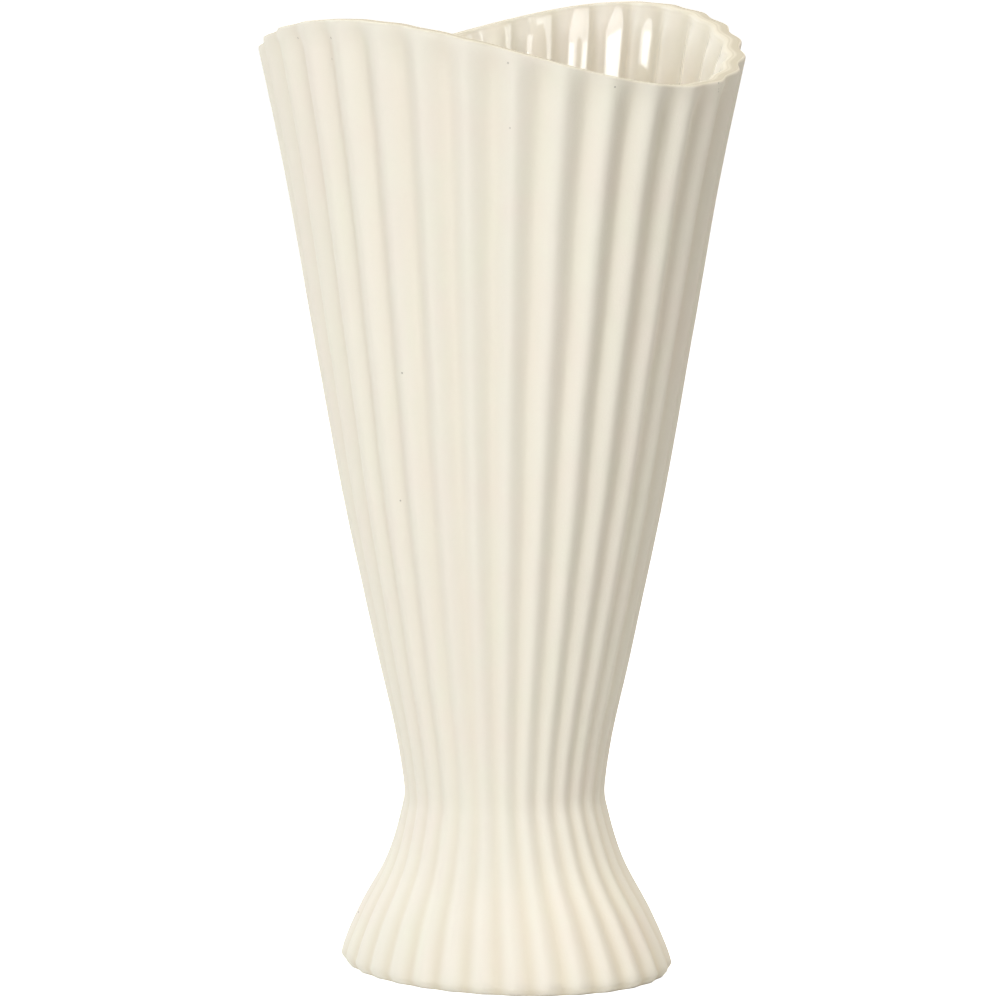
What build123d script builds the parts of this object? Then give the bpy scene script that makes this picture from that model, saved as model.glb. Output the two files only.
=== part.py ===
from build123d import *
import os
from math import cos, pi, radians, sin

# Fan vase: an oval fluted cone on a flared foot, with an arched rim and a glazed inside.
# X is the long way of the oval, Y its short way and Z up. The origin is the middle of the base.

# Overall sizes, in millimetres
height = 240.0  # top of the arched rim, over the two broad sides
rim_dip = 15.8  # how much lower the rim is at its two narrow ends
rim_length = 131.0  # across the narrow ends, at the rim
rim_width = 107.4  # across the broad sides, at the rim
waist_height = 46.0
waist_length = 51.8
waist_width = 49.2
foot_length = 91.0
foot_width = 74.0

# Edge of the foot: widest a little above the table, and rounded in below that
foot_edge_height = 2.2
foot_edge_inset = 1.6

# Walls
wall = 4.2
glaze_thickness = 0.5
floor_thickness = 5.0
base_recess = 1.5  # hollow under the floor, so that the foot stands on its ring

# Flutes: soft round ribs that run from the foot to the rim, with valleys about as wide between them
flute_count = 31
rim_flute_depth = 2.8
waist_flute_depth = 0.6
foot_flute_depth = 1.4
lip_fade = 6.0  # over this height below the lip's top the flutes grow shallower
lip_depth_share = 0.5
edge_fade = 5.0  # and over this height above the table
edge_depth_share = 0.35
first_valley_share = 0.414  # of a flute, from the long axis to the first valley
uneven_share = 0.0024  # of a whole turn, how far the hand-cut flutes wander
uneven_waves = 2
uneven_angle = 167.0  # degrees
inner_depth_share = 0.75  # the inside's flutes are shallower than the outside's

# One rib from valley to valley, as shares of its width and of the flute's depth
outer_rib_shares = [(-0.5, 1.0), (-0.25, 0.53), (0.0, 0.0), (0.25, 0.53), (0.5, 1.0)]
inner_rib_shares = [(-0.5, 1.0), (-0.25, 0.55), (0.0, 0.0), (0.25, 0.55), (0.5, 1.0)]
valley_reach_share = 0.05  # of a flute each side of a valley, for its direction

# Foot, from its edge up: shares of the rise to the waist, and of the narrowing in length and width
foot_shares = [(0.0, 0.0, 0.0), (0.26, 0.28, 0.27), (0.58, 0.725, 0.745), (0.9, 0.98, 1.0)]

# Fan, from the waist up: shares of the rise to the rim's top, and of the growth in length and width
fan_shares = [
    (0.0, 0.0, 0.0),
    (0.072, 0.058, 0.069),
    (0.175, 0.182, 0.203),
    (0.381, 0.422, 0.44),
    (0.588, 0.634, 0.625),
    (0.794, 0.846, 0.797),
    (1.0, 1.106, 1.0),
]

# Worked out from the sizes above
lip_radius = wall / 2
floor_top = base_recess + floor_thickness


def body_levels():
    """Height, half length and half width of the outside at each level, from the base up."""
    levels = [(0.0, foot_length / 2 - foot_edge_inset, foot_width / 2 - foot_edge_inset)]
    for rise, length_share, width_share in foot_shares:
        z = foot_edge_height + (waist_height - foot_edge_height) * rise
        half_length = (foot_length + (waist_length - foot_length) * length_share) / 2
        half_width = (foot_width + (waist_width - foot_width) * width_share) / 2
        levels.append((z, half_length, half_width))
    for rise, length_share, width_share in fan_shares:
        z = waist_height + (height - waist_height) * rise
        half_length = (waist_length + (rim_length - waist_length) * length_share) / 2
        half_width = (waist_width + (rim_width - waist_width) * width_share) / 2
        levels.append((z, half_length, half_width))
    return levels


levels = body_levels()
foot_heights = [z for z, _, _ in levels if z <= waist_height]
fan_heights = [z for z, _, _ in levels if z >= waist_height][:-1] + [height - lip_fade]
fade_heights = [height - lip_fade / 2, height]


def slope(index, column):
    """Steepness of one column of the levels at one of them, from the levels beside it."""
    below = levels[max(index - 1, 0)]
    above = levels[min(index + 1, len(levels) - 1)]
    return (above[column] - below[column]) / (above[0] - below[0])


def half_size(z, column):
    """Half length (column 1) or half width (column 2) at a height, on a smooth curve through the levels."""
    index = max(i for i, level in enumerate(levels[:-1]) if level[0] <= z or i == 0)
    low, high = levels[index], levels[index + 1]
    span = high[0] - low[0]
    share = (z - low[0]) / span
    rise = high[column] - low[column]
    start = slope(index, column) * span
    end = slope(index + 1, column) * span
    bend = 3 * rise - 2 * start - end
    return low[column] + start * share + bend * share**2 + (start + end - 2 * rise) * share**3


def flute_depth(z):
    """Depth of the outside's flutes at a height."""
    if z < waist_height:
        return foot_flute_depth + (waist_flute_depth - foot_flute_depth) * z / waist_height
    share = (z - waist_height) / (height - waist_height)
    return waist_flute_depth + (rim_flute_depth - waist_flute_depth) * share


def depth_kept(level):
    """Share of the flutes' depth that is left at a level, near the lip and near the foot's edge."""
    lip_share = max(level - (height - lip_fade), 0.0) / lip_fade
    edge_share = max(edge_fade - level, 0.0) / edge_fade
    return 1 - (1 - lip_depth_share) * lip_share**2 - (1 - edge_depth_share) * edge_share**2


def oval_angle(turn, half_length, half_width):
    """Angle on an oval that lies a share of the way round it, as measured along its outline."""
    squash = (half_length - half_width) / (half_length + half_width)
    return 2 * pi * turn + squash / 2 * sin(4 * pi * turn)


def rim_fall(turn):
    """How far the arched rim lies below its top at a share of the way round."""
    return rim_dip * cos(oval_angle(turn, rim_length / 2, rim_width / 2)) ** 2


def flute_turn(flute):
    """Share of the way round at a place that is counted in flutes."""
    even = (flute + 0.5 + first_valley_share) / flute_count
    return even + uneven_share * sin(2 * pi * uneven_waves * even + radians(uneven_angle))


def ring(level, inset=0.0, drop=0.0, depth_share=1.0, rib_shares=outer_rib_shares):
    """Closed wire with one rib curve per flute, at a height. Above the waist that height is
    counted towards the arched rim, less a drop, so that the highest ring follows the arch."""
    fan_share = max(level - waist_height, 0.0) / (height - waist_height)
    kept = depth_share * depth_kept(level)

    def point(flute, sink):
        turn = flute_turn(flute)
        z = level - (rim_fall(turn) + drop) * fan_share
        half_length = half_size(z, 1) - inset
        half_width = half_size(z, 2) - inset
        angle = oval_angle(turn, half_length, half_width)
        crest = Vector(half_length * cos(angle), half_width * sin(angle), z)
        outward = Vector(half_width * cos(angle), half_length * sin(angle)).normalized()
        return crest - outward * (sink * kept * flute_depth(z))

    ribs = []
    for flute in range(flute_count):
        points = [point(flute + across, sink) for across, sink in rib_shares]
        valleys = [flute + rib_shares[0][0], flute + rib_shares[-1][0]]
        ends = [point(at + valley_reach_share, 1.0) - point(at - valley_reach_share, 1.0) for at in valleys]
        steps = [across - rib_shares[0][0] for across, _ in rib_shares]
        ribs.append(Edge.make_spline(points, tangents=ends, parameters=steps))
    return Wire(ribs)


def inner_ring(level, inset=wall):
    """Ring of the wall's inside, or of the glaze that lies on it."""
    return ring(level, inset, lip_radius, inner_depth_share, inner_rib_shares)


def lip_ring(angle):
    """Ring on the round of the lip, from 0 degrees at its outer side to 180 at its inner side."""
    share = angle / 180
    rib_pairs = zip(outer_rib_shares, inner_rib_shares)
    rib_shares = [(across, outer + (inner - outer) * share) for (across, outer), (_, inner) in rib_pairs]
    inset = lip_radius * (1 - cos(radians(angle)))
    drop = lip_radius * (1 - sin(radians(angle)))
    return ring(height, inset, drop, 1 + (inner_depth_share - 1) * share, rib_shares)


def skin_faces(rings):
    """Faces of a skin of the fan, lofted in two runs that share the ring where the flutes start to fade."""
    runs = [rings[: len(fan_heights)], rings[len(fan_heights) - 1 :]]
    return [face for run in runs for face in Shell.make_loft(run).faces()]


# Rings of the fan: up the outside, up the inside, up the glaze that lies on it, and over the lip
outer_rings = [ring(z, drop=lip_radius) for z in fan_heights + fade_heights]
lining_rings = [inner_ring(z) for z in fan_heights + fade_heights]
glaze_rings = [inner_ring(z, wall + glaze_thickness) for z in fan_heights + fade_heights]
lip_rings = [outer_rings[-1]] + [lip_ring(angle) for angle in range(30, 180, 30)] + [lining_rings[-1]]

# Skins of the wall and of its glaze, each closed by a seam at the waist
lip_skin = Shell.make_loft(lip_rings)
lining_faces = skin_faces(lining_rings)
wall_seam = Face(outer_rings[0], [lining_rings[0]])
wall_faces = skin_faces(outer_rings) + lip_skin.faces() + lining_faces + [wall_seam]
glaze_seam = Face(lining_rings[0], [glaze_rings[0]])
glaze_edge = Shell.make_loft([lining_rings[-1], glaze_rings[-1]], ruled=True)
glaze_faces = lining_faces + skin_faces(glaze_rings) + glaze_edge.faces() + [glaze_seam]

# Space inside the foot's wall, and the smaller space inside its glaze
with BuildPart() as foot_space:
    loft([Face(inner_ring(z)) for z in foot_heights])

with BuildPart() as water_space:
    loft([Face(inner_ring(z, wall + glaze_thickness)) for z in foot_heights])
    split(bisect_by=Plane.XY.offset(floor_top + glaze_thickness), keep=Keep.TOP)

# Fluted cone above the waist, up to the arched lip
with BuildPart() as fan_wall:
    add(Solid(Shell(wall_faces)))

# Flared skirt below the waist, which stands on its ring
with BuildPart() as foot_wall:
    loft([Face(ring(z)) for z in foot_heights])
    add(foot_space.part, mode=Mode.SUBTRACT)

# Closed floor inside the foot
with BuildPart() as base_slab:
    add(foot_space.part)
    split(bisect_by=Plane.XY.offset(base_recess), keep=Keep.TOP)
    split(bisect_by=Plane.XY.offset(floor_top), keep=Keep.BOTTOM)

# Glassy skin over the floor and up the inside to the lip
with BuildPart() as glaze_lining:
    add(foot_space.part)
    split(bisect_by=Plane.XY.offset(floor_top), keep=Keep.TOP)
    add(water_space.part, mode=Mode.SUBTRACT)
    add(Solid(Shell(glaze_faces)))

os.makedirs("parts", exist_ok=True)
nodes = {"fan_wall": fan_wall, "foot_wall": foot_wall, "base_slab": base_slab, "glaze_lining": glaze_lining}
for name, node in nodes.items():
    node.part.label = name
    export_step(node.part, f"parts/{name}.step")
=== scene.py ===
"""Fan vase of cream stoneware: an oval fluted cone on a flared foot, with an arched lip and a glazed inside.

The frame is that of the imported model: X is the long way of the oval, Y its short way, Z up, and the origin
is the middle of the foot's underside. Lengths are in metres, but for the marks and the camera's lens and
sensor, which are in millimetres. Angles are in degrees, but for those written with math.radians.
"""

import logging
import math
from collections.abc import Mapping, Sequence
from dataclasses import dataclass, field
from enum import Enum

import bpy
from mathutils import Matrix, Vector


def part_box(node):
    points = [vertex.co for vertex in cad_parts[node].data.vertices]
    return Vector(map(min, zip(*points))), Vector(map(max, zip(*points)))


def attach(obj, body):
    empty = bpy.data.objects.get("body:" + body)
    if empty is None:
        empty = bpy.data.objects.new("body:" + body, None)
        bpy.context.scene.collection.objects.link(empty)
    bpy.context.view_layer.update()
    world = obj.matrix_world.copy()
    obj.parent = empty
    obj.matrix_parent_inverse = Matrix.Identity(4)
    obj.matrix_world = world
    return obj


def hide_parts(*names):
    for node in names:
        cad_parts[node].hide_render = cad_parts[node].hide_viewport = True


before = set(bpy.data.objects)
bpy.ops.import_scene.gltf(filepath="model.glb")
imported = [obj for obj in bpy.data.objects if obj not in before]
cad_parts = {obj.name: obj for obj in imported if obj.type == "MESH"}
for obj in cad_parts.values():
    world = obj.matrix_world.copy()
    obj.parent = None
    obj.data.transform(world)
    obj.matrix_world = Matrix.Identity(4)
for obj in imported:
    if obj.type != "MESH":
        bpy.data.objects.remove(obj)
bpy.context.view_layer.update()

log = logging.getLogger("fan_vase")

Colour = tuple[float, float, float, float]
Vec3 = tuple[float, float, float]

MM = 0.001
WHITE: Colour = (1.0, 1.0, 1.0, 1.0)


class Value:
    """A socket of a node tree that takes part in sums as a number does."""

    def __init__(self, maker: "NodeMaker", socket: bpy.types.NodeSocket) -> None:
        """Wraps a socket.

        Args:
            maker: The maker that adds nodes to the socket's tree.
            socket: The output socket to wrap.
        """
        self.maker = maker
        self.socket = socket

    def __add__(self, other: "Value | float") -> "Value":
        """Sum of two values."""
        return self.maker.math("ADD", self, other)

    def __radd__(self, other: float) -> "Value":
        """Sum with a number on the left."""
        return self.maker.math("ADD", other, self)

    def __sub__(self, other: "Value | float") -> "Value":
        """Difference of two values."""
        return self.maker.math("SUBTRACT", self, other)

    def __rsub__(self, other: float) -> "Value":
        """Difference with a number on the left."""
        return self.maker.math("SUBTRACT", other, self)

    def __mul__(self, other: "Value | float") -> "Value":
        """Product of two values."""
        return self.maker.math("MULTIPLY", self, other)

    def __rmul__(self, other: float) -> "Value":
        """Product with a number on the left."""
        return self.maker.math("MULTIPLY", other, self)

    def __truediv__(self, other: "Value | float") -> "Value":
        """Quotient of two values."""
        return self.maker.math("DIVIDE", self, other)

    def __gt__(self, other: "Value | float") -> "Value":
        """1 where this value is the larger, else 0."""
        return self.maker.math("GREATER_THAN", self, other)

    def __lt__(self, other: "Value | float") -> "Value":
        """1 where this value is the smaller, else 0."""
        return self.maker.math("LESS_THAN", self, other)

    def clamped(self) -> "Value":
        """The value held between 0 and 1."""
        return self.maker.math("MINIMUM", self.maker.math("MAXIMUM", self, 0.0), 1.0)


Input = Value | bpy.types.NodeSocket | float | int | str | tuple | bpy.types.ID
Inputs = Mapping[str | int, Input] | None
Settings = Mapping[str, object] | None


class NodeMaker:
    """Adds nodes to one shader tree or geometry tree."""

    def __init__(self, tree: bpy.types.NodeTree) -> None:
        """Starts on a tree.

        Args:
            tree: The tree that receives the nodes.
        """
        self.tree = tree

    def add(self, kind: str, settings: Settings = None, inputs: Inputs = None) -> bpy.types.Node:
        """Adds one node, sets it up and joins its sockets.

        Args:
            kind: The node's type.
            settings: Properties of the node, set first.
            inputs: Values or links of its sockets, by name or by place.

        Returns:
            The new node.
        """
        node = self.tree.nodes.new(kind)
        for name, setting in (settings or {}).items():
            setattr(node, name, setting)
        for key, value in (inputs or {}).items():
            socket = node.inputs[key]
            if isinstance(value, Value):
                value = value.socket
            if isinstance(value, bpy.types.NodeSocket):
                self.tree.links.new(value, socket)
            else:
                socket.default_value = value
        return node

    def out(self, node: bpy.types.Node, name: str | int = 0) -> Value:
        """Wraps an output of a node.

        Args:
            node: The node.
            name: The output's name or place. Of several with one name, the one in use counts.

        Returns:
            The wrapped output.
        """
        if isinstance(name, int):
            return Value(self, node.outputs[name])
        return Value(self, next(o for o in node.outputs if o.name == name and o.enabled))

    def value(
        self, kind: str, settings: Settings = None, inputs: Inputs = None, name: str | int = 0
    ) -> Value:
        """Adds one node of which a single output is used.

        Args:
            kind: The node's type.
            settings: Properties of the node, set first.
            inputs: Values or links of its sockets, by name or by place.
            name: The output's name or place.

        Returns:
            The wrapped output.
        """
        return self.out(self.add(kind, settings, inputs), name)

    def math(self, operation: str, first: Input, second: Input = 0.0) -> Value:
        """Adds a Math node.

        Args:
            operation: What the node works out.
            first: Its first value.
            second: Its second value, where it takes one.

        Returns:
            The result.
        """
        return self.value("ShaderNodeMath", {"operation": operation}, {0: first, 1: second})

    def xyz(self, x: Input, y: Input, z: Input) -> Value:
        """A vector of three values."""
        return self.value("ShaderNodeCombineXYZ", None, {0: x, 1: y, 2: z})

    def split(self, vector: Input) -> tuple[Value, Value, Value]:
        """The three values of a vector."""
        node = self.add("ShaderNodeSeparateXYZ", None, {0: vector})
        return self.out(node, 0), self.out(node, 1), self.out(node, 2)

    def mixed(self, share: Input, first: Input, second: Input) -> Value:
        """A number between two others."""
        return self.value("ShaderNodeMix", {"data_type": "FLOAT"}, {0: share, 2: first, 3: second}, 0)

    def mixed_vector(self, share: Input, first: Input, second: Input) -> Value:
        """A vector between two others."""
        return self.value("ShaderNodeMix", {"data_type": "VECTOR"}, {0: share, 4: first, 5: second}, 1)

    def mixed_colour(self, share: Input, first: Input, second: Input) -> Value:
        """A colour between two others."""
        return self.value("ShaderNodeMix", {"data_type": "RGBA"}, {0: share, 6: first, 7: second}, 2)


@dataclass(frozen=True)
class SectionPoint:
    """A place on the section of a wall, which the flutes turn into a ring.

    The level is counted towards the arched lip above the waist, less the drop. The inset is measured in
    from the outside. The inside share goes from 0 on the outer face to 1 on the inner one, and the reach
    shrinks a ring towards the middle. The edge share marks the line on the lip's crest that gets a painted
    shade line, and the lip share tells how near the lip a place is, which sets the painted shade on the
    lip's top and, on the glaze, where its gloss fades.
    """

    inset: float
    drop: float
    level: float
    inside: float = 0.0
    reach: float = 1.0
    edge: float = 0.0
    lip: float = 0.0


@dataclass(frozen=True)
class VaseShape:
    """Sizes of the vase and the curves that they make.

    They are those of its source, but for the squareness of the lip, where 1 would be a full round and a
    smaller number gives sharper corners.
    """

    height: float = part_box("fan_wall")[1].z
    waist_height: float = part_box("foot_wall")[1].z
    floor_top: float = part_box("base_slab")[1].z
    rim_dip: float = 15.8 * MM
    rim_length: float = 131.0 * MM
    rim_width: float = 107.4 * MM
    waist_length: float = 51.8 * MM
    waist_width: float = 49.2 * MM
    foot_length: float = 91.0 * MM
    foot_width: float = 74.0 * MM
    foot_edge_height: float = 2.2 * MM
    foot_edge_inset: float = 1.6 * MM
    wall: float = 4.2 * MM
    glaze: float = 0.5 * MM
    flute_count: int = 31
    rim_flute_depth: float = 2.8 * MM
    waist_flute_depth: float = 0.6 * MM
    foot_flute_depth: float = 1.4 * MM
    lip_fade: float = 6.0 * MM
    lip_depth_share: float = 0.5
    edge_fade: float = 5.0 * MM
    edge_depth_share: float = 0.35
    lip_squareness: float = 0.4
    inner_depth_share: float = 0.75
    outer_quarter_share: float = 0.53
    inner_quarter_share: float = 0.55
    first_valley_share: float = 0.414
    uneven_share: float = 0.0024
    uneven_waves: float = 2.0
    uneven_angle: float = math.radians(167.0)
    foot_shares: tuple[Vec3, ...] = (
        (0.0, 0.0, 0.0),
        (0.26, 0.28, 0.27),
        (0.58, 0.725, 0.745),
        (0.9, 0.98, 1.0),
    )
    fan_shares: tuple[Vec3, ...] = (
        (0.0, 0.0, 0.0),
        (0.072, 0.058, 0.069),
        (0.175, 0.182, 0.203),
        (0.381, 0.422, 0.44),
        (0.588, 0.634, 0.625),
        (0.794, 0.846, 0.797),
        (1.0, 1.106, 1.0),
    )

    @property
    def lip_radius(self) -> float:
        """Radius of the round lip."""
        return self.wall / 2

    def lip_place(self, angle: float, proud: float = 0.0) -> tuple[float, float]:
        """A place on the lip's round, whose corners are a little squarer than a circle's.

        Args:
            angle: Place on the round, from 0 degrees at its outer side to 180 at its inner side.
            proud: How far it stands off the clay.

        Returns:
            The place's inset and drop.
        """
        turned = math.radians(angle)
        across, up = math.cos(turned), max(math.sin(turned), 0.0)
        across = math.copysign(abs(across) ** self.lip_squareness, across)
        reach = self.lip_radius + proud
        return self.lip_radius - reach * across, self.lip_radius - reach * up**self.lip_squareness

    def levels(self) -> list[Vec3]:
        """Sizes of the outside at the levels that its profile is drawn through.

        Returns:
            Height, half length and half width at each level, from the base up.
        """
        inset = self.foot_edge_inset
        made = [(0.0, self.foot_length / 2 - inset, self.foot_width / 2 - inset)]
        foot = (self.foot_length, self.foot_width)
        waist = (self.waist_length, self.waist_width)
        rim = (self.rim_length, self.rim_width)
        runs = (
            (self.foot_shares, self.foot_edge_height, self.waist_height, foot, waist),
            (self.fan_shares, self.waist_height, self.height, waist, rim),
        )
        for shares, low, high, (length, width), (next_length, next_width) in runs:
            for rise, length_share, width_share in shares:
                half_length = (length + (next_length - length) * length_share) / 2
                half_width = (width + (next_width - width) * width_share) / 2
                made.append((low + (high - low) * rise, half_length, half_width))
        return made

    def profile(self, step: float) -> list[Vec3]:
        """Half length, half width and height of the outside, on a smooth curve through the levels.

        Args:
            step: The rise from one point to the next.

        Returns:
            The points from the base to just above the lip.
        """
        levels = self.levels()

        def slope(index: int, column: int) -> float:
            """Steepness of a column at a level, from the levels beside it."""
            below, above = levels[max(index - 1, 0)], levels[min(index + 1, len(levels) - 1)]
            return (above[column] - below[column]) / (above[0] - below[0])

        def size(z: float, column: int) -> float:
            """A size of the outside at a height.

            Args:
                z: The height.
                column: 1 for the half length, 2 for the half width.

            Returns:
                The size.
            """
            index = max(i for i, level in enumerate(levels[:-1]) if level[0] <= z or i == 0)
            low, high = levels[index], levels[index + 1]
            span = high[0] - low[0]
            share = (z - low[0]) / span
            rise = high[column] - low[column]
            start, end = slope(index, column) * span, slope(index + 1, column) * span
            bend = 3 * rise - 2 * start - end
            return low[column] + start * share + bend * share**2 + (start + end - 2 * rise) * share**3

        spare_points = 3
        count = int(self.height / step) + spare_points
        return [(size(i * step, 1), size(i * step, 2), i * step) for i in range(count)]


@dataclass(frozen=True)
class Handwork:
    """How far the hand-finished flutes stray from the rule, and the seed of that straying.

    Flutes sway sideways, their depth strays in patches that lie a few times closer together, and the
    whole skin swells in and out.
    """

    sway_share: float = 0.035
    sway_rings: float = 1.6
    sway_length: float = 34 * MM
    depth_share: float = 0.16
    depth_closeness: float = 3.0
    swell: float = 0.12 * MM
    swell_length: float = 26 * MM
    seed: int = 7


class Straying(Enum):
    """What strays, with the shift that keeps its noise apart and the finer octaves of that noise."""

    SWAY = (0.0, 2.0)
    DEPTH = (5.0, 1.0)
    SWELL = (9.0, 2.0)


class FluteTree:
    """Geometry Nodes tree that turns a wall's section into a fluted oval ring wall.

    Its columns stand closer together in the valleys than on the ribs' crests.
    """

    columns_per_flute: int = 16
    crowding: float = 0.5
    quarter_steepness: float = 0.75
    seed_step: float = 13.7
    sharp_angle: float = math.radians(40)
    merge_distance: float = 0.001 * MM
    kept_shares: tuple[str, ...] = ("inside", "reach", "edge", "lip")

    def __init__(self, shape: VaseShape, handwork: Handwork, profile_step: float = 1.0 * MM) -> None:
        """Builds the tree.

        Args:
            shape: Sizes of the vase.
            handwork: How the flutes stray.
            profile_step: Rise between two points of the profile helper.
        """
        self.shape = shape
        self.handwork = handwork
        self.profile_step = profile_step
        self.tree = bpy.data.node_groups.new("fluted wall", "GeometryNodeTree")
        self.make = NodeMaker(self.tree)
        self.values = self._make_inputs()
        self.given = self.make.add("NodeGroupInput")
        self._build()

    def _make_inputs(self) -> dict[str, float | int]:
        """Makes the tree's named inputs.

        Returns:
            The number that each input gets on a piece, by the input's name.
        """
        s, h = self.shape, self.handwork
        numbers = {
            "Height": s.height,
            "Waist Height": s.waist_height,
            "Rim Length": s.rim_length,
            "Rim Width": s.rim_width,
            "Rim Dip": s.rim_dip,
            "Rim Flute Depth": s.rim_flute_depth,
            "Waist Flute Depth": s.waist_flute_depth,
            "Foot Flute Depth": s.foot_flute_depth,
            "Lip Fade": s.lip_fade,
            "Lip Depth Share": s.lip_depth_share,
            "Edge Fade": s.edge_fade,
            "Edge Depth Share": s.edge_depth_share,
            "Inner Depth Share": s.inner_depth_share,
            "Outer Quarter Share": s.outer_quarter_share,
            "Inner Quarter Share": s.inner_quarter_share,
            "First Valley Share": s.first_valley_share,
            "Uneven Share": s.uneven_share,
            "Uneven Waves": s.uneven_waves,
            "Uneven Angle": s.uneven_angle,
            "Profile Step": self.profile_step,
            "Sway Share": h.sway_share,
            "Sway Rings": h.sway_rings,
            "Sway Length": h.sway_length,
            "Depth Stray": h.depth_share,
            "Depth Closeness": h.depth_closeness,
            "Swell": h.swell,
            "Swell Length": h.swell_length,
        }
        counts = {"Flutes": s.flute_count, "Columns per Flute": self.columns_per_flute, "Seed": h.seed}
        interface = self.tree.interface
        interface.new_socket("Geometry", in_out="INPUT", socket_type="NodeSocketGeometry")
        for name in ("Section", "Profile"):
            interface.new_socket(name, in_out="INPUT", socket_type="NodeSocketObject")
        interface.new_socket("Finish", in_out="INPUT", socket_type="NodeSocketMaterial")
        for name in numbers:
            interface.new_socket(name, in_out="INPUT", socket_type="NodeSocketFloat")
        for name in counts:
            interface.new_socket(name, in_out="INPUT", socket_type="NodeSocketInt")
        interface.new_socket("Geometry", in_out="OUTPUT", socket_type="NodeSocketGeometry")
        return {**numbers, **counts}

    def _get(self, name: str) -> Value:
        """One of the tree's named inputs."""
        return self.make.out(self.given, name)

    def _helper(self, name: str) -> Value:
        """The geometry of one of the two helper objects."""
        return self.make.value("GeometryNodeObjectInfo", None, {"Object": self._get(name)}, "Geometry")

    def _sampled(self, geometry: Value, index: Value, attribute: str | None = None) -> Value:
        """Reads a helper's point by its number.

        Args:
            geometry: The helper's geometry.
            index: The number of the point.
            attribute: The name of a number that the point holds, or None for its place.

        Returns:
            The number or the place.
        """
        make = self.make
        if attribute is None:
            kind, value = "FLOAT_VECTOR", make.value("GeometryNodeInputPosition")
        else:
            kind, named = "FLOAT", {"Name": attribute}
            value = make.value("GeometryNodeInputNamedAttribute", {"data_type": kind}, named, "Attribute")
        settings = {"data_type": kind, "domain": "POINT", "clamp": True}
        inputs = {"Geometry": geometry, "Value": value, "Index": index}
        return make.value("GeometryNodeSampleIndex", settings, inputs, "Value")

    def _noise(self, place: Value, straying: Straying) -> Value:
        """Seeded noise between -1 and 1.

        Args:
            place: Where it is read, in wave lengths.
            straying: What the noise is for.

        Returns:
            The noise.
        """
        shift, detail = straying.value
        seed = self._get("Seed") * self.seed_step + shift
        inputs = {"Vector": place, "W": seed, "Scale": 1.0, "Detail": detail}
        return self.make.value("ShaderNodeTexNoise", {"noise_dimensions": "4D"}, inputs) * 2.0 - 1.0

    def _oval_angle(self, turn: Value, length: Value, width: Value) -> Value:
        """Angle on an oval at a share of the way round, as measured along its outline."""
        squash = (length - width) / (length + width)
        return turn * math.tau + squash / 2.0 * self.make.math("SINE", turn * (2 * math.tau))

    def _half_size(self, z: Value, profile: Value) -> tuple[Value, Value]:
        """Size of the outside at a height.

        Args:
            z: The height.
            profile: The profile helper's geometry.

        Returns:
            The half length and the half width.
        """
        make = self.make
        count = z / self._get("Profile Step")
        low = make.math("FLOOR", count)
        below = self._sampled(profile, low)
        above = self._sampled(profile, low + 1.0)
        half_length, half_width, _ = make.split(make.mixed_vector(count - low, below, above))
        return half_length, half_width

    def _sink(self, flute: Value, inside: Value) -> Value:
        """How deep a place lies in its flute, from 0 on the crest to 1 in the valley.

        Args:
            flute: The place round the wall, counted in flutes from a crest.
            inside: 0 on the outer face and 1 on the inner one.

        Returns:
            The depth as a share of the flute's depth, on the curve of the source's ribs.
        """
        make, steep = self.make, self.quarter_steepness
        across = make.math("ABSOLUTE", flute - make.math("ROUND", flute))
        quarter = make.mixed(inside, self._get("Outer Quarter Share"), self._get("Inner Quarter Share"))
        rest = 1.0 - quarter
        quarters = across * 4.0
        near, far = quarters.clamped(), (quarters - 1.0).clamped()
        low = near * near * ((3.0 * quarter - steep) + near * (steep - 2.0 * quarter))
        high = far * (steep + far * ((3.0 * rest - 2.0 * steep) + far * (steep - 2.0 * rest)))
        return low + high

    def _flute_depth(self, z: Value, level: Value, inside: Value) -> Value:
        """Depth of the flutes.

        Args:
            z: Height, which the depth grows with.
            level: Level of the section, by which the flutes fade near the lip and near the foot's edge.
            inside: 0 on the outer face and 1 on the inner one, whose flutes are shallower.

        Returns:
            The depth.
        """
        make, get = self.make, self._get
        foot_share = (z / get("Waist Height")).clamped()
        fan_share = ((z - get("Waist Height")) / (get("Height") - get("Waist Height"))).clamped()
        depth = make.mixed(foot_share, get("Foot Flute Depth"), get("Waist Flute Depth"))
        depth = depth + (get("Rim Flute Depth") - get("Waist Flute Depth")) * fan_share
        near_lip = ((level - get("Height")) / get("Lip Fade") + 1.0).clamped()
        near_edge = (1.0 - level / get("Edge Fade")).clamped()
        lost = (1.0 - get("Lip Depth Share")) * near_lip * near_lip
        lost = lost + (1.0 - get("Edge Depth Share")) * near_edge * near_edge
        return depth * (1.0 - lost) * (1.0 - inside * (1.0 - get("Inner Depth Share")))

    def _make_grid(self, section: Value) -> tuple[Value, Value, Value]:
        """Makes the flat grid that becomes the wall.

        Args:
            section: The section helper's geometry, with one point for each row of the grid.

        Returns:
            The grid, and the row and the place round the wall, counted in flutes, of each of its points.
        """
        make = self.make
        size = {"component": "MESH"}
        rows = make.value("GeometryNodeAttributeDomainSize", size, {"Geometry": section}, "Point Count")
        columns = self._get("Flutes") * self._get("Columns per Flute")
        inputs = {"Size X": 1.0, "Size Y": 1.0, "Vertices X": rows, "Vertices Y": columns + 1.0}
        grid = make.value("GeometryNodeMeshGrid", None, inputs, "Mesh")
        grid_x, grid_y, _ = make.split(make.value("GeometryNodeInputPosition"))
        row = make.math("ROUND", (grid_x + 0.5) * (rows - 1.0))
        plain = (grid_y + 0.5) * self._get("Flutes")
        flute = plain + make.math("SINE", plain * math.tau) * (self.crowding / math.tau)
        return grid, row, flute

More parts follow.
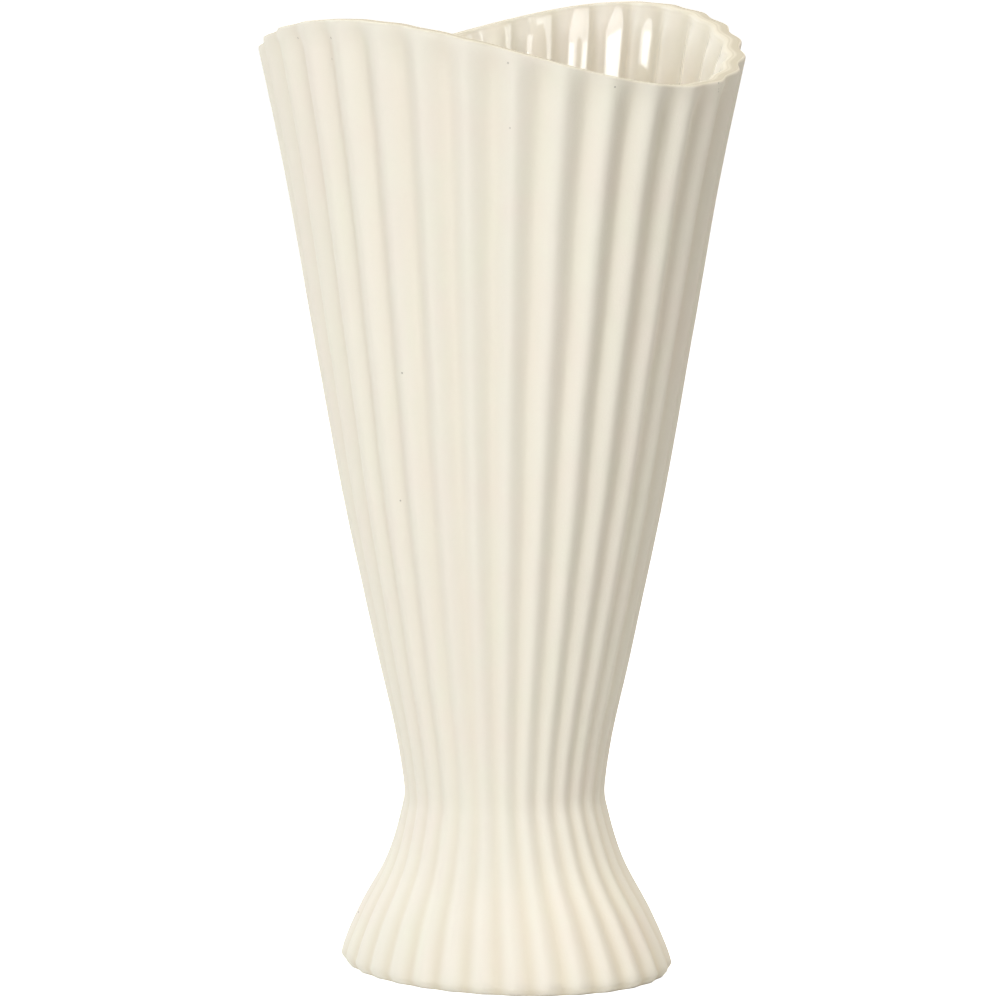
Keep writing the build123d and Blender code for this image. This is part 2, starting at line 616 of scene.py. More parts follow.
    def _turn(self, flute: Value, level: Value) -> tuple[Value, Value]:
        """Share of the way round of a place, and how the depth strays there.

        Args:
            flute: The place, counted in flutes.
            level: Level of the section.

        Returns:
            The share of a whole turn, and the factor on the flutes' depth.
        """
        make, get = self.make, self._get
        even = (flute + 0.5 + get("First Valley Share")) / get("Flutes")
        uneven = make.math("SINE", even * math.tau * get("Uneven Waves") + get("Uneven Angle"))
        turn = even + uneven * get("Uneven Share")
        around_x = make.math("COSINE", turn * math.tau) * get("Sway Rings")
        around_y = make.math("SINE", turn * math.tau) * get("Sway Rings")
        up, close = level / get("Sway Length"), get("Depth Closeness")
        sway = self._noise(make.xyz(around_x, around_y, up), Straying.SWAY)
        stray = self._noise(make.xyz(around_x * close, around_y * close, up), Straying.DEPTH)
        return turn + sway * get("Sway Share") / get("Flutes"), 1.0 + stray * get("Depth Stray")

    def _height(self, turn: Value, level: Value, drop: Value) -> Value:
        """Height of a place.

        Args:
            turn: Share of the way round.
            level: Level of the section, which above the waist is counted towards the arched lip.
            drop: How far the place lies below that.

        Returns:
            The height.
        """
        make, get = self.make, self._get
        above_waist = make.math("MAXIMUM", level - get("Waist Height"), 0.0)
        fan_share = above_waist / (get("Height") - get("Waist Height"))
        fall = make.math("COSINE", self._oval_angle(turn, get("Rim Length"), get("Rim Width")))
        return level - (fall * fall * get("Rim Dip") + drop) * fan_share

    def _build(self) -> None:
        """Lays the tree out: a grid, its place on the wall, and its finish."""
        make, get = self.make, self._get
        section, profile = self._helper("Section"), self._helper("Profile")
        grid, row, flute = self._make_grid(section)
        inset, drop, level = make.split(self._sampled(section, row))
        inside, reach, edge, lip = (self._sampled(section, row, name) for name in self.kept_shares)

        turn, depth_factor = self._turn(flute, level)
        z = self._height(turn, level, drop)
        half_length, half_width = self._half_size(z, profile)
        half_length, half_width = half_length - inset, half_width - inset
        angle = self._oval_angle(turn, half_length, half_width)
        cosine, sine = make.math("COSINE", angle), make.math("SINE", angle)
        crest_x, crest_y = half_length * cosine, half_width * sine
        out_x, out_y = half_width * cosine, half_length * sine
        out_size = make.math("SQRT", out_x * out_x + out_y * out_y)

        sink = self._sink(flute, inside)
        depth = self._flute_depth(z, level, inside) * depth_factor
        length = get("Swell Length")
        swell = self._noise(make.xyz(crest_x / length, crest_y / length, z / length), Straying.SWELL)
        push = (swell * get("Swell") - sink * depth) / out_size
        place = make.xyz((crest_x + out_x * push) * reach, (crest_y + out_y * push) * reach, z)
        self._finish(grid, place, {"sink": sink, "edge": edge, "lip": lip})

    def _finish(self, grid: Value, place: Value, kept: Mapping[str, Value]) -> None:
        """Turns the grid into the finished mesh.

        Args:
            grid: The flat grid.
            place: Where its points go.
            kept: What the mesh keeps for its material, by name.
        """
        make, geometry = self.make, grid
        for name, value in kept.items():
            settings = {"data_type": "FLOAT", "domain": "POINT"}
            inputs = {"Geometry": geometry, "Name": name, "Value": value}
            geometry = make.value("GeometryNodeStoreNamedAttribute", settings, inputs, "Geometry")
        geometry = make.value("GeometryNodeSetPosition", None, {"Geometry": geometry, "Position": place})
        inputs = {"Geometry": geometry, "Distance": self.merge_distance}
        geometry = self._shaded(make.value("GeometryNodeMergeByDistance", None, inputs))
        geometry = make.value("GeometryNodeRealizeInstances", None, {"Geometry": geometry})
        inputs = {"Geometry": geometry, "Material": self._get("Finish")}
        geometry = make.value("GeometryNodeSetMaterial", None, inputs)
        make.add("NodeGroupOutput", None, {"Geometry": geometry})

    def _shaded(self, geometry: Value) -> Value:
        """Smooths the shading but for the edges of the section's corners.

        Args:
            geometry: The wall.

        Returns:
            The wall with its shading set.
        """
        make = self.make
        settings, inputs = {"domain": "FACE"}, {0: geometry, "Shade Smooth": True}
        smooth = make.value("GeometryNodeSetShadeSmooth", settings, inputs)
        turned = make.value("GeometryNodeInputMeshEdgeAngle", name="Unsigned Angle") > self.sharp_angle
        settings, inputs = {"domain": "EDGE"}, {0: smooth, "Selection": turned, "Shade Smooth": False}
        return make.value("GeometryNodeSetShadeSmooth", settings, inputs)

    def piece(
        self, name: str, section: Sequence[SectionPoint], finish: bpy.types.Material
    ) -> bpy.types.Object:
        """Makes one wall from its section.

        Args:
            name: The piece's name.
            section: The wall's section, from its start round to its end.
            finish: The material of the piece.

        Returns:
            The piece, a plain mesh with no modifier.
        """
        section_helper = make_points("section", [(p.inset, p.drop, p.level) for p in section])
        for key in self.kept_shares:
            values = section_helper.data.attributes.new(key, "FLOAT", "POINT").data
            values.foreach_set("value", [getattr(p, key) for p in section])
        profile_helper = make_points("profile", self.shape.profile(self.profile_step))

        maker = make_points("maker", [(0.0, 0.0, 0.0)])
        modifier = maker.modifiers.new("flutes", "NODES")
        modifier.node_group = self.tree
        given = {"Section": section_helper, "Profile": profile_helper, "Finish": finish, **self.values}
        for item in self.tree.interface.items_tree:
            if item.in_out == "INPUT" and item.name in given:
                modifier[item.identifier] = given[item.name]
        depsgraph = bpy.context.evaluated_depsgraph_get()
        mesh = bpy.data.meshes.new_from_object(
            maker.evaluated_get(depsgraph), preserve_all_data_layers=True, depsgraph=depsgraph
        )
        maker.modifiers.remove(modifier)
        for helper in (maker, section_helper, profile_helper):
            bpy.data.objects.remove(helper)
        mesh.name = name
        return link(name, mesh)


def link(name: str, data: bpy.types.ID) -> bpy.types.Object:
    """Makes an object and links it to the scene.

    Args:
        name: The object's name.
        data: Its mesh, lamp or camera.

    Returns:
        The object.
    """
    made = bpy.data.objects.new(name, data)
    bpy.context.scene.collection.objects.link(made)
    return made


def make_points(name: str, points: Sequence[Vec3]) -> bpy.types.Object:
    """Makes a helper object that holds only points.

    Args:
        name: The helper's name.
        points: Its points.

    Returns:
        The helper, linked to the scene.
    """
    mesh = bpy.data.meshes.new(name)
    mesh.from_pydata(points, [], [])
    return link(name, mesh)


def steps(start: float, end: float, longest: float) -> list[float]:
    """Splits a way into even steps.

    Args:
        start: The first value.
        end: The last value.
        longest: How far apart two values may be.

    Returns:
        The values, with the first and the last one.
    """
    rounding = 1e-6
    count = max(1, math.ceil(abs(end - start) / longest - rounding))
    return [start + (end - start) * i / count for i in range(count + 1)]


def held(share: float) -> float:
    """A number held between 0 and 1."""
    return min(max(share, 0.0), 1.0)


def new_material(name: str) -> tuple[bpy.types.Material, NodeMaker]:
    """Starts a material with an empty node tree.

    Args:
        name: The material's name.

    Returns:
        The material and the maker of its nodes.
    """
    material = bpy.data.materials.new(name)
    material.use_nodes = True
    material.node_tree.nodes.clear()
    return material, NodeMaker(material.node_tree)


@dataclass(frozen=True)
class Tint:
    """A colour that shows in soft-edged patches.

    The share tells how much of it shows inside a patch, the start how strong the noise is where it starts
    to show, and the stretch how much closer together the patches lie along each axis.
    """

    colour: Colour
    share: float
    size: float
    detail: float
    start: float
    stretch: Vec3 = (1.0, 1.0, 1.0)


@dataclass(frozen=True)
class Specks:
    """Sparse round specks: one in a share of the cells, whose mean distance is given."""

    apart: float
    radius: float
    share: float
    strength: float


@dataclass(frozen=True)
class Mark:
    """An iron speck at a known place, in millimetres."""

    place: Vec3
    radius: float
    strength: float


class Surface:
    """A material in the making, with the patterns of the finishes, read in the piece's own space."""

    octave_roughness: float = 0.55
    patch_contrast: float = 4.0
    least_speck: float = 0.4
    speck_contrast: float = 2.0
    mark_contrast: float = 2.5

    def __init__(self, name: str) -> None:
        """Starts a material.

        Args:
            name: The material's name.
        """
        self.material, self.make = new_material(name)
        self.place = self.make.value("ShaderNodeTexCoord", name="Object")

    def noise(self, length: float, detail: float = 2.0, stretch: Vec3 = (1.0, 1.0, 1.0)) -> Value:
        """Noise between 0 and 1.

        Args:
            length: Size of its patches.
            detail: How many finer octaves it has.
            stretch: How much closer the patches lie along each axis.

        Returns:
            The noise.
        """
        vector = self.make.value("ShaderNodeMapping", None, {"Vector": self.place, "Scale": stretch})
        inputs = {"Vector": vector, "Scale": 1.0 / length, "Detail": detail}
        inputs["Roughness"] = self.octave_roughness
        return self.make.value("ShaderNodeTexNoise", None, inputs)

    def tinted(self, colour: Input, tint: Tint) -> Value:
        """Lays a tint's patches over a colour.

        Args:
            colour: The colour below them.
            tint: The tint.

        Returns:
            The tinted colour.
        """
        patches = self.noise(tint.size, tint.detail, tint.stretch) - tint.start
        patches = (patches * self.patch_contrast).clamped()
        return self.make.mixed_colour(patches * tint.share, colour, tint.colour)

    def speckled(self, colour: Input, specks: Specks, speck: Colour) -> Value:
        """Strews specks over a colour.

        Args:
            colour: The colour below them.
            specks: How they lie.
            speck: Their own colour.

        Returns:
            The speckled colour.
        """
        make = self.make
        inputs = {"Vector": self.place, "Scale": 1.0 / specks.apart}
        cells = make.add("ShaderNodeTexVoronoi", {"feature": "F1"}, inputs)
        chance, size, _ = make.split(make.out(cells, "Color"))
        apart = make.out(cells, "Distance") * (specks.apart / specks.radius)
        near = 1.0 - apart / (self.least_speck + size)
        mask = (near * self.speck_contrast).clamped() * (chance < specks.share)
        return make.mixed_colour(mask * specks.strength, colour, speck)

    def marked(self, colour: Input, marks: Sequence[Mark], speck: Colour) -> Value:
        """Puts single specks on a colour.

        Args:
            colour: The colour below them.
            marks: Where they lie.
            speck: Their own colour.

        Returns:
            The marked colour.
        """
        make, mask = self.make, 0.0
        for mark in marks:
            inputs = {0: self.place, 1: tuple(c * MM for c in mark.place)}
            apart = make.value("ShaderNodeVectorMath", {"operation": "DISTANCE"}, inputs, "Value")
            near = ((1.0 - apart / (mark.radius * MM)) * self.mark_contrast).clamped() * mark.strength
            mask = make.math("MAXIMUM", mask, near)
        return make.mixed_colour(mask, colour, speck)

    def attribute(self, name: str) -> Value:
        """A number that the piece's mesh holds."""
        return self.make.value("ShaderNodeAttribute", {"attribute_name": name}, name="Fac")

    def bump(self, height: Value, distance: float, below: Value | None = None) -> Value:
        """Bumps a surface.

        Args:
            height: Height pattern from 0 to 1.
            distance: Height of its full range.
            below: Another bump's normal that this one lies on.

        Returns:
            The bumped normal.
        """
        inputs: dict[str | int, Input] = {"Height": height, "Distance": distance, "Strength": 1.0}
        if below is not None:
            inputs["Normal"] = below
        return self.make.value("ShaderNodeBump", None, inputs)

    def finished(self, inputs: Inputs) -> bpy.types.Material:
        """Ends the material with its shader.

        Args:
            inputs: Values or links of the shader's sockets.

        Returns:
            The material.
        """
        shader = self.make.value("ShaderNodeBsdfPrincipled", None, inputs)
        self.make.add("ShaderNodeOutputMaterial", None, {"Surface": shader})
        return self.material


@dataclass(frozen=True)
class StonewareFinish:
    """Matt cream stoneware: faint mottling, fine grain, sparse iron specks, painted shade in the flutes'
    valleys, and painted shade over the lip's top with a painted shade line along its crest.
    """

    name: str = "stoneware"
    cream: Colour = (0.86, 0.813, 0.712, 1.0)
    tints: tuple[Tint, ...] = (
        Tint((0.87, 0.795, 0.705, 1.0), 0.75, 19 * MM, 3.0, 0.42),
        Tint((0.85, 0.82, 0.70, 1.0), 0.7, 13 * MM, 2.0, 0.5, (1.3, 1.3, 0.6)),
    )
    # Painted shade: the flutes' valleys are darkened towards this colour by the square of their depth, more
    # strongly over the lowest part of the foot.
    valley: Colour = (0.69, 0.60, 0.44, 1.0)
    valley_shade_share: float = 0.18
    foot_valley_shade_share: float = 0.5
    foot_reach: float = 50 * MM
    # Painted shade: the lip's top is darkened towards this colour.
    lip_top_shade: Colour = (0.64, 0.585, 0.465, 1.0)
    lip_top_shade_share: float = 0.62
    # Painted shade: a dark line along the lip's crest.
    lip_shade_line_colour: Colour = (0.42, 0.37, 0.27, 1.0)
    lip_shade_line_share: float = 0.6
    roughness: float = 0.72
    roughness_range: float = 0.25
    roughness_patch: float = 4 * MM
    specular: float = 0.35
    swell_size: float = 5 * MM
    swell_height: float = 0.10 * MM
    pore_size: float = 0.7 * MM
    pore_height: float = 0.035 * MM
    speck: Colour = (0.16, 0.13, 0.10, 1.0)
    specks: tuple[Specks, ...] = (
        Specks(9 * MM, 0.22 * MM, 0.1, 0.55),
        Specks(31 * MM, 0.42 * MM, 0.16, 0.7),
    )
    marks: tuple[Mark, ...] = (
        Mark((-7.64, -51.28, 235.18), 0.36, 0.85),
        Mark((-22.48, -47.9, 234.51), 0.36, 0.3),
        Mark((-9.83, -48.83, 229.9), 0.34, 0.22),
        Mark((41.46, -40.72, 230.49), 0.36, 0.35),
        Mark((59.11, -22.3, 224.55), 0.30, 0.45),
        Mark((39.85, -38.47, 214.79), 0.26, 0.35),
        Mark((6.09, -41.64, 153.75), 0.30, 0.6),
        Mark((63.96, 9.15, 224.1), 0.34, 0.9),
        Mark((63.86, 9.3, 223.4), 0.26, 0.3),
        Mark((63.76, 9.48, 222.7), 0.26, 0.4),
        Mark((63.64, 9.68, 222.0), 0.26, 0.3),
    )

    def colour(self, surface: Surface) -> Value:
        """Lays the clay's colours over each other: tints, painted shade in the valleys, specks, and painted
        shade over the lip's top and along its crest.

        Args:
            surface: The material's surface.

        Returns:
            The colour.
        """
        make, colour = surface.make, self.cream
        sink, edge, lip = (surface.attribute(name) for name in ("sink", "edge", "lip"))
        for tint in self.tints:
            colour = surface.tinted(colour, tint)
        # Painted shade in the valleys, growing stronger towards the foot.
        _, _, height = make.split(surface.place)
        foot_share = (1.0 - height / self.foot_reach).clamped()
        valley_shade_share = foot_share * (self.foot_valley_shade_share - self.valley_shade_share) + self.valley_shade_share
        colour = make.mixed_colour(sink * sink * valley_shade_share, colour, self.valley)
        for specks in self.specks:
            colour = surface.speckled(colour, specks, self.speck)
        colour = surface.marked(colour, self.marks, self.speck)
        # Painted shade over the lip's top.
        colour = make.mixed_colour(lip * self.lip_top_shade_share, colour, self.lip_top_shade)
        # Painted shade line along the lip's crest.
        return make.mixed_colour(edge * self.lip_shade_line_share, colour, self.lip_shade_line_colour)

    def build(self) -> bpy.types.Material:
        """Makes the material.

        Returns:
            The material.
        """
        surface = Surface(self.name)
        patches = surface.noise(self.roughness_patch, detail=3.0) - 0.5
        swells = surface.bump(surface.noise(self.swell_size), self.swell_height)
        pores = surface.bump(surface.noise(self.pore_size), self.pore_height, swells)
        return surface.finished({
            "Base Color": self.colour(surface),
            "Roughness": self.roughness + patches * self.roughness_range,
            "Normal": pores,
            "Specular IOR Level": self.specular,
        })


@dataclass(frozen=True)
class GlazeFinish:
    """Clear glaze over the clay: glossy, darker where it pools in the channels, and turning matt towards the
    lip, whose top is painted darker as shade, with a painted shade line where the glaze ends.
    """

    name: str = "inner glaze"
    cream: Colour = (0.91, 0.86, 0.75, 1.0)
    rosy: Tint = Tint((0.92, 0.84, 0.735, 1.0), 0.8, 14 * MM, 2.0, 0.42, (1.0, 1.0, 0.5))
    pooled: Colour = (0.72, 0.66, 0.51, 1.0)
    # Painted shade: the glaze over the lip's top is darkened towards this colour.
    pooled_share: float = 0.45
    lip_top_shade: Colour = (0.60, 0.55, 0.44, 1.0)
    # Painted shade: a dark line where the glaze ends on the lip; the pinholes also take this colour.
    lip_top_shade_share: float = 0.62
    lip_shade_line_colour: Colour = (0.44, 0.39, 0.29, 1.0)
    lip_shade_line_share: float = 0.35
    pinholes: Specks = Specks(17 * MM, 0.2 * MM, 0.12, 0.4)
    roughness: float = 0.5
    roughness_range: float = 0.15
    roughness_patch: float = 8 * MM
    specular: float = 0.2
    gloss_roughness: float = 0.05
    gloss_ior: float = 1.52
    ripple_size: float = 7 * MM
    ripple_height: float = 0.10 * MM

    def build(self) -> bpy.types.Material:
        """Makes the material.

        Returns:
            The material.
        """
        surface = Surface(self.name)
        make = surface.make
        sink, edge, lip = (surface.attribute(name) for name in ("sink", "edge", "lip"))
        pool, top_shade = 1.0 - sink, lip * lip
        colour = surface.tinted(self.cream, self.rosy)
        colour = make.mixed_colour(pool * pool * self.pooled_share, colour, self.pooled)
        # Painted shade over the lip's top.
        colour = make.mixed_colour(top_shade * top_shade * self.lip_top_shade_share, colour, self.lip_top_shade)
        # Painted shade line where the glaze ends.
        colour = make.mixed_colour(edge * self.lip_shade_line_share, colour, self.lip_shade_line_colour)
        patches = surface.noise(self.roughness_patch, detail=1.0)
        ripples = surface.noise(self.ripple_size, detail=1.0)
        return surface.finished({
            # The pinholes borrow the painted shade line's colour.
            "Base Color": surface.speckled(colour, self.pinholes, self.lip_shade_line_colour),
            "Roughness": self.roughness + patches * self.roughness_range,
            "Normal": surface.bump(ripples, self.ripple_height),
            "Specular IOR Level": self.specular,
            "Coat Weight": 1.0 - lip,
            "Coat Roughness": self.gloss_roughness,
            "Coat IOR": self.gloss_ior,
        })


@dataclass(frozen=True)
class StageFinish:
    """Pale studio floor that the camera sees as white, with the object's soft shadow on it."""

    name: str = "pale floor"
    colour: Colour = (0.80, 0.80, 0.79, 1.0)
    own_light: float = 0.95

    def build(self) -> bpy.types.Material:
        """Makes the material.

        Returns:
            The material.
        """
        material, make = new_material(self.name)
        matt = make.value("ShaderNodeBsdfDiffuse", None, {"Color": self.colour})
        lit = {"Color": WHITE, "Strength": seen_by_eye(make) * self.own_light}
        glow = make.value("ShaderNodeEmission", None, lit)
        both = make.value("ShaderNodeAddShader", None, {0: matt, 1: glow})
        make.add("ShaderNodeOutputMaterial", None, {"Surface": both})
        return material


def seen_by_eye(make: NodeMaker) -> Value:
    """Tells the rays that show a background to the camera, straight or by a reflection.

    Args:
        make: The maker of the tree that asks.

    Returns:
        1 for such a ray, else 0.
    """
    rays = make.add("ShaderNodeLightPath")
    straight, mirrored = make.out(rays, "Is Camera Ray"), make.out(rays, "Is Glossy Ray")
    return (straight + mirrored + make.out(rays, "Is Transmission Ray")).clamped()


class Wall(Enum):
    """The two stoneware walls, by the CAD node that each one stands for."""

    FAN = "fan_wall"
    FOOT = "foot_wall"

    @property
    def piece_name(self) -> str:
        """Name of the piece that shows the wall."""
        return f"stoneware_{self.name.lower()}"


@dataclass
class StonewareBody:
    """The matt clay: the fan, the foot and the floor that closes the foot."""

    shape: VaseShape
    tree: FluteTree
    finish: StonewareFinish = field(default_factory=StonewareFinish)
    row_step: float = 2.4 * MM
    foot_step: float = 1.6 * MM
    edge_step: float = 0.6 * MM
    hidden_step: float = 6.0 * MM
    lip_step: float = 10.0
    lap: float = 4.0 * MM
    lap_step: float = 1.0 * MM
    lap_inset: float = 0.04 * MM
    # Angles on the lip's round that get the painted shade line.
    lip_shade_line_from: float = 66.0
    lip_shade_line_to: float = 100.0
    # Angles on the lip's round over which the painted shade on its top comes in.
    lip_top_shade_from: float = 15.0
    lip_top_shade_to: float = 55.0

    def seam_rows(self, wall: Wall) -> list[SectionPoint]:
        """Rows across the waist, where each wall runs on a little way under the skin of the other.

        Args:
            wall: The wall that the rows belong to.

        Returns:
            The rows from below the waist up.
        """
        s, points = self.shape, []
        hidden_way = -1.0 if wall is Wall.FAN else 1.0
        for rise in steps(-self.lap, self.lap, self.lap_step):
            inset = self.lap_inset * max(rise * hidden_way, 0.0) / self.lap
            points.append(SectionPoint(inset, s.lip_radius, s.waist_height + rise))
        return points

    def lip_point(self, angle: float) -> SectionPoint:
        """A point on the lip's round.

        Args:
            angle: Place on the round, from 0 degrees at its outer side to 180 at its inner side.

        Returns:
            The point.
        """
        inset, drop = self.shape.lip_place(angle)
        # The painted shade line runs along the lip's crest.
        edge = 1.0 if self.lip_shade_line_from < angle < self.lip_shade_line_to else 0.0
        # On the clay, the lip share sets only the painted shade on the lip's top.
        lip = held((angle - self.lip_top_shade_from) / (self.lip_top_shade_to - self.lip_top_shade_from))
        return SectionPoint(inset, drop, self.shape.height, angle / 180.0, edge=edge, lip=lip)

    def fan_section(self) -> list[SectionPoint]:
        """Draws the section of the fan.

        Returns:
            Its points: up the outside, over the lip and down the hidden inside.
        """
        s, points = self.shape, self.seam_rows(Wall.FAN)
        outer = steps(points[-1].level, s.height, self.row_step)[1:-1]
        points += [SectionPoint(0.0, s.lip_radius, z) for z in outer]
        points += [self.lip_point(angle) for angle in steps(0.0, 180.0, self.lip_step)]
        inner = steps(s.height, s.waist_height - self.lap, self.hidden_step)[1:]
        points += [SectionPoint(s.wall, s.lip_radius, z, 1.0) for z in inner]
        return points + points[:1]

    def foot_section(self) -> list[SectionPoint]:
        """Draws the section of the foot.

        Returns:
            Its points: from its ring up the outside and down the inside.
        """
        s = self.shape
        outer = steps(0.0, s.foot_edge_height, self.edge_step)
        outer += steps(s.foot_edge_height, s.waist_height - self.lap, self.foot_step)[1:-1]
        inner = steps(s.waist_height + self.lap, 0.0, self.hidden_step)
        points = [SectionPoint(0.0, s.lip_radius, z) for z in outer] + self.seam_rows(Wall.FOOT)
        points += [SectionPoint(s.wall, s.lip_radius, z, 1.0) for z in inner]
        return points + points[:1]

    def build(self) -> list[bpy.types.Object]:
        """Makes both walls and dresses the floor.

        Returns:
            The fan and the foot.
        """
        material = self.finish.build()
        sections = {Wall.FAN: self.fan_section(), Wall.FOOT: self.foot_section()}
        pieces = []
        for wall, section in sections.items():
            piece = self.tree.piece(wall.piece_name, section, material)
            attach(piece, "root")
            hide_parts(wall.value)
            pieces.append(piece)
        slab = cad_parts["base_slab"]
        slab.data.materials.clear()
        slab.data.materials.append(material)
        return pieces


@dataclass
class GlazeLining:
    """The glossy skin: over the floor, up the inside and thinning out over the lip's crest."""

    shape: VaseShape
    tree: FluteTree
    finish: GlazeFinish = field(default_factory=GlazeFinish)
    row_step: float = 2.6 * MM
    throat_step: float = 2.0 * MM
    hidden_step: float = 9.0 * MM
    floor_reaches: tuple[float, ...] = (0.0, 0.3, 0.6, 0.85)
    hidden_floor_reaches: tuple[float, ...] = (0.5, 0.0)
    cove: float = 6.0 * MM
    cove_step: float = 15.0
    sunk: float = 0.06 * MM
    film: float = 0.02 * MM
    film_angle: float = 96.0
    film_growth: float = 1.5
    # Share of the film's end that gets the painted shade line.
    film_shade_line_share: float = 0.12
    lip_step: float = 9.0
    # Depths below the lip's top over which the glaze loses its gloss and takes the painted shade on the
    # lip's top.
    dry_and_shade_depth: float = 2.3 * MM
    dry_and_shade_top: float = 0.3 * MM

    def inside_points(self) -> list[SectionPoint]:
        """Draws the part of the section that shows inside the vase.

        Returns:
            Its points: from the middle of the floor, round the cove at its side and up.
        """
        s = self.shape
        surface, inner = s.floor_top + s.glaze, s.wall + s.glaze
        points = [SectionPoint(inner + self.cove, 0.0, surface, 1.0, reach) for reach in self.floor_reaches]
        for angle in steps(0.0, 90.0, self.cove_step):
            turned = math.radians(angle)
            inset = inner + self.cove * (1 - math.sin(turned))
            level = surface + self.cove * (1 - math.cos(turned))
            points.append(SectionPoint(inset, s.lip_radius, level, 1.0))
        levels = steps(surface + self.cove, s.waist_height, self.throat_step)[1:]
        levels += steps(s.waist_height, s.height, self.row_step)[1:-1]
        return points + [SectionPoint(inner, s.lip_radius, z, 1.0) for z in levels]

    def lip_points(self) -> list[SectionPoint]:
        """Draws the part of the section at the lip, where the skin thins out to a film.

        Returns:
            Its points: over the lip, and back under the clay's surface.
        """
        points = []
        for angle in steps(180.0, self.film_angle, self.lip_step):
            share = (angle - self.film_angle) / (180.0 - self.film_angle)
            proud = self.film + (self.shape.glaze - self.film) * share**self.film_growth
            # The film's end gets the painted shade line.
            points.append(self.lip_point(angle, proud, 1.0 if share < self.film_shade_line_share else 0.0))
        back = steps(self.film_angle, 180.0, 2 * self.lip_step)
        return points + [self.lip_point(angle, -self.sunk) for angle in back]

    def hidden_points(self) -> list[SectionPoint]:
        """Draws the part of the section that lies just under the clay's surface.

        Returns:
            Its points: down the wall, and in to the middle of the floor.
        """
        s = self.shape
        inset, bottom = s.wall - self.sunk, s.floor_top - self.sunk
        down = steps(s.height, bottom, self.hidden_step)[1:]
        points = [SectionPoint(inset, s.lip_radius, z, 1.0) for z in down]
        return points + [SectionPoint(inset, 0.0, bottom, 1.0, reach) for reach in self.hidden_floor_reaches]

    def lip_point(self, angle: float, proud: float, edge: float = 0.0) -> SectionPoint:
        """A point over the lip's round.

        Args:
            angle: Place on the round, from 0 degrees at its outer side to 180 at its inner side.
            proud: How far it stands off the clay.
            edge: 1 on the line where the skin ends, which gets a painted shade line.

        Returns:
            The point.
        """
        inset, drop = self.shape.lip_place(angle, proud)
        lip = held((self.dry_and_shade_depth - drop) / (self.dry_and_shade_depth - self.dry_and_shade_top))
        return SectionPoint(inset, drop, self.shape.height, angle / 180.0, edge=edge, lip=lip)

    def build(self) -> bpy.types.Object:
        """Makes the skin.

        Returns:
            The skin.
        """
        section = self.inside_points() + self.lip_points() + self.hidden_points()
        piece = self.tree.piece("glaze_skin", section, self.finish.build())
        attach(piece, "root")
        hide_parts("glaze_lining")
        return piece


@dataclass(frozen=True)
class Softbox:
    """A soft lamp, swung round the object from the camera's side to the right.

    A card is a lamp that only shows as a reflection in glossy surfaces.
    """

    name: str
    swing: float
    elevation: float
    distance: float
    width: float
    height: float
    watts: float
    colour: Vec3 = (1.0, 1.0, 1.0)
    card: bool = False


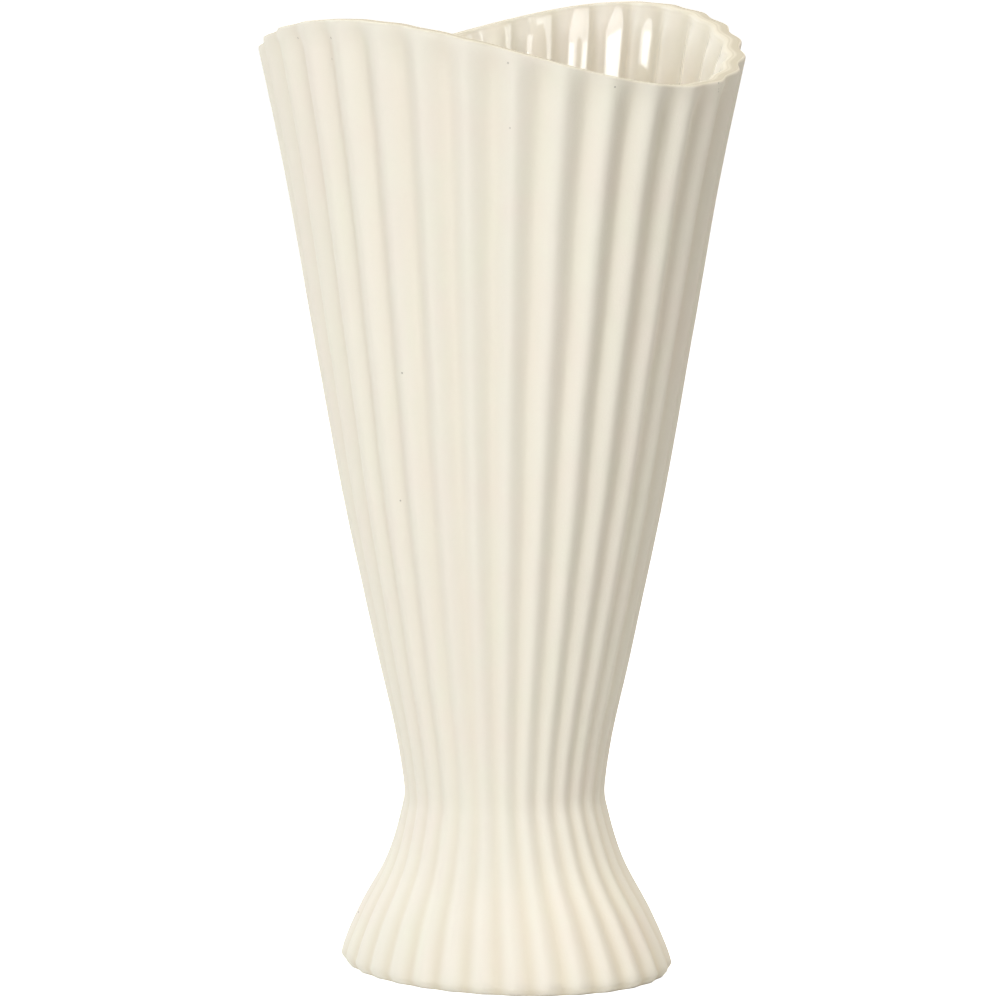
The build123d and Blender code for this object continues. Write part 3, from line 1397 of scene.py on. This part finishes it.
@dataclass
class Studio:
    """Camera, floor, softboxes and world."""

    azimuth: float = 43.71
    camera_place: Vec3 = (1.0765, -1.1271, 0.3223)
    camera_pitch: float = -7.4707
    camera_roll: float = -0.34
    lens: float = 226.7
    sensor: float = 36.0
    aim: Vec3 = (0.0, 0.0, 0.13)
    floor_reach: float = 12.0
    sky: Colour = (1.0, 0.94, 0.84, 1.0)
    sky_strength: float = 0.16
    boxes: tuple[Softbox, ...] = (
        Softbox("key", -31.0, 6.0, 1.5, 0.64, 0.64, 8.8, (0.95, 0.98, 1.0)),
        Softbox("card", -33.0, 16.0, 1.6, 1.1, 1.1, 19.0, (0.95, 0.98, 1.0), True),
        Softbox("top", 0.0, 65.0, 1.5, 0.6, 0.6, 10.6, (0.98, 1.0, 1.0)),
        Softbox("right top", 100.0, 65.0, 1.5, 0.6, 0.6, 8.8, (1.0, 0.935, 0.83)),
        Softbox("left rear", -130.0, 38.0, 1.5, 0.6, 0.6, 10.0, (0.93, 0.97, 1.0)),
    )

    def make_camera(self) -> None:
        """Sets up the camera at the photograph's angle."""
        data = bpy.data.cameras.new("camera")
        data.sensor_width, data.lens = self.sensor, self.lens
        camera = link("camera", data)
        turn = (
            Matrix.Rotation(math.radians(self.azimuth), 4, "Z")
            @ Matrix.Rotation(math.radians(90.0 + self.camera_pitch), 4, "X")
            @ Matrix.Rotation(math.radians(self.camera_roll), 4, "Z")
        )
        camera.matrix_world = Matrix.Translation(self.camera_place) @ turn
        bpy.context.scene.camera = camera

    def make_floor(self) -> None:
        """Lays the pale floor."""
        reach = self.floor_reach
        mesh = bpy.data.meshes.new("floor")
        corners = [(-reach, -reach, 0.0), (reach, -reach, 0.0), (reach, reach, 0.0), (-reach, reach, 0.0)]
        mesh.from_pydata(corners, [], [(0, 1, 2, 3)])
        mesh.materials.append(StageFinish().build())
        floor = link("floor", mesh)

    def make_lamp(self, box: Softbox) -> None:
        """Hangs one softbox, turned to the object.

        Args:
            box: Its place, size and strength.
        """
        data = bpy.data.lights.new(box.name, "AREA")
        data.shape = "RECTANGLE"
        data.size, data.size_y = box.width, box.height
        data.energy, data.color = box.watts, box.colour
        lamp = link(box.name, data)
        lamp.visible_diffuse = not box.card
        around, up = math.radians(self.azimuth + box.swing), math.radians(box.elevation)
        way = Vector((math.sin(around) * math.cos(up), -math.cos(around) * math.cos(up), math.sin(up)))
        turn = way.to_track_quat("Z", "Y").to_matrix().to_4x4()
        lamp.matrix_world = Matrix.Translation(Vector(self.aim) + way * box.distance) @ turn

    def make_world(self) -> None:
        """Makes the soft sky, which shows as plain white behind the object."""
        world = bpy.data.worlds.new("studio")
        world.use_nodes = True
        world.node_tree.nodes.clear()
        make = NodeMaker(world.node_tree)
        sky = {"Color": self.sky, "Strength": self.sky_strength}
        lit = make.value("ShaderNodeBackground", None, sky)
        shown = make.value("ShaderNodeBackground", None, {"Color": WHITE, "Strength": 1.0})
        both = make.value("ShaderNodeMixShader", None, {0: seen_by_eye(make), 1: lit, 2: shown})
        make.add("ShaderNodeOutputWorld", None, {"Surface": both})
        bpy.context.scene.world = world

    def build(self) -> None:
        """Sets up everything but the object."""
        self.make_camera()
        self.make_floor()
        for box in self.boxes:
            self.make_lamp(box)
        self.make_world()
        bpy.context.scene.view_settings.view_transform = "Standard"


def report(piece: bpy.types.Object) -> None:
    """Logs what a finished piece holds.

    Args:
        piece: The piece.
    """
    corners = [Vector(c) for c in piece.bound_box]
    size = [(max(c[i] for c in corners) - min(c[i] for c in corners)) / MM for i in range(3)]
    log.info("%s: %d faces, %.1f x %.1f x %.1f mm", piece.name, len(piece.data.polygons), *size)


def main() -> None:
    """Builds the studio and the vase."""
    logging.basicConfig(level=logging.INFO, format="%(name)s: %(message)s")
    Studio().build()
    shape = VaseShape()
    tree = FluteTree(shape, Handwork())
    for piece in StonewareBody(shape, tree).build():
        report(piece)
    report(GlazeLining(shape, tree).build())


if __name__ == "__main__":
    main()
